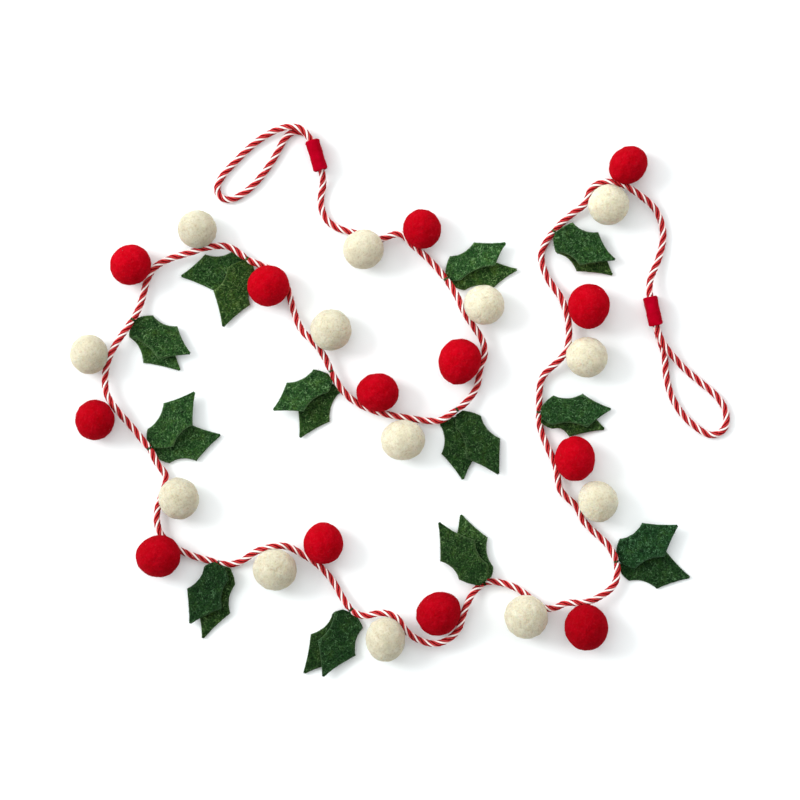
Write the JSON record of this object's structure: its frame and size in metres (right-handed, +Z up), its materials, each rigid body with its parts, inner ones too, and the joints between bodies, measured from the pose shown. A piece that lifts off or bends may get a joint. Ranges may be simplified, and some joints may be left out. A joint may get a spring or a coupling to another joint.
{
  "type": "holly garland",
  "caption": "Twisted cord strung with wool felt balls and pairs of felt holly leaves, with a hanging loop bound by a felt sleeve at each end, laid out in a curve.",
  "frame": {"origin": "on the surface that the garland lies on, under the middle of the box round its balls, leaves and sleeves", "axes": "+Z up from the surface, +X to the right and +Y away as in the picture's view from above, along the long and the short side of the laid-out garland"},
  "size_m": [0.4683, 0.3929, 0.0314],
  "materials": {
    "red_felt": "matt wool felt",
    "cream_felt": "matt wool felt",
    "green_felt": "matt felt sheet with lighter fibres",
    "twisted_cord": "red and white yarns twisted together"
  },
  "bodies": {
    "root": {"cord": "twisted_cord", "sleeve_first": "red_felt", "sleeve_last": "red_felt", "ball_red_01": "red_felt", "ball_red_02": "red_felt", "ball_red_03": "red_felt", "ball_red_04": "red_felt", "ball_red_05": "red_felt", "ball_red_06": "red_felt", "ball_red_07": "red_felt", "ball_red_08": "red_felt", "ball_red_09": "red_felt", "ball_red_10": "red_felt", "ball_red_11": "red_felt", "ball_red_12": "red_felt", "ball_red_13": "red_felt", "ball_cream_01": "cream_felt", "ball_cream_02": "cream_felt", "ball_cream_03": "cream_felt", "ball_cream_04": "cream_felt", "ball_cream_05": "cream_felt", "ball_cream_06": "cream_felt", "ball_cream_07": "cream_felt", "ball_cream_08": "cream_felt", "ball_cream_09": "cream_felt", "ball_cream_10": "cream_felt", "ball_cream_11": "cream_felt", "ball_cream_12": "cream_felt", "ball_cream_13": "cream_felt", "leaf_01_lower": "green_felt", "leaf_01_upper": "green_felt", "leaf_02_lower": "green_felt", "leaf_02_upper": "green_felt", "leaf_03_lower": "green_felt", "leaf_03_upper": "green_felt", "leaf_04_lower": "green_felt", "leaf_04_upper": "green_felt", "leaf_05_lower": "green_felt", "leaf_05_upper": "green_felt", "leaf_06_lower": "green_felt", "leaf_06_upper": "green_felt", "leaf_07_lower": "green_felt", "leaf_07_upper": "green_felt", "leaf_08_lower": "green_felt", "leaf_08_upper": "green_felt", "leaf_09_lower": "green_felt", "leaf_09_upper": "green_felt", "leaf_10_lower": "green_felt", "leaf_10_upper": "green_felt", "leaf_11_lower": "green_felt", "leaf_11_upper": "green_felt", "leaf_12_lower": "green_felt", "leaf_12_upper": "green_felt"}
  },
  "joints": []
}
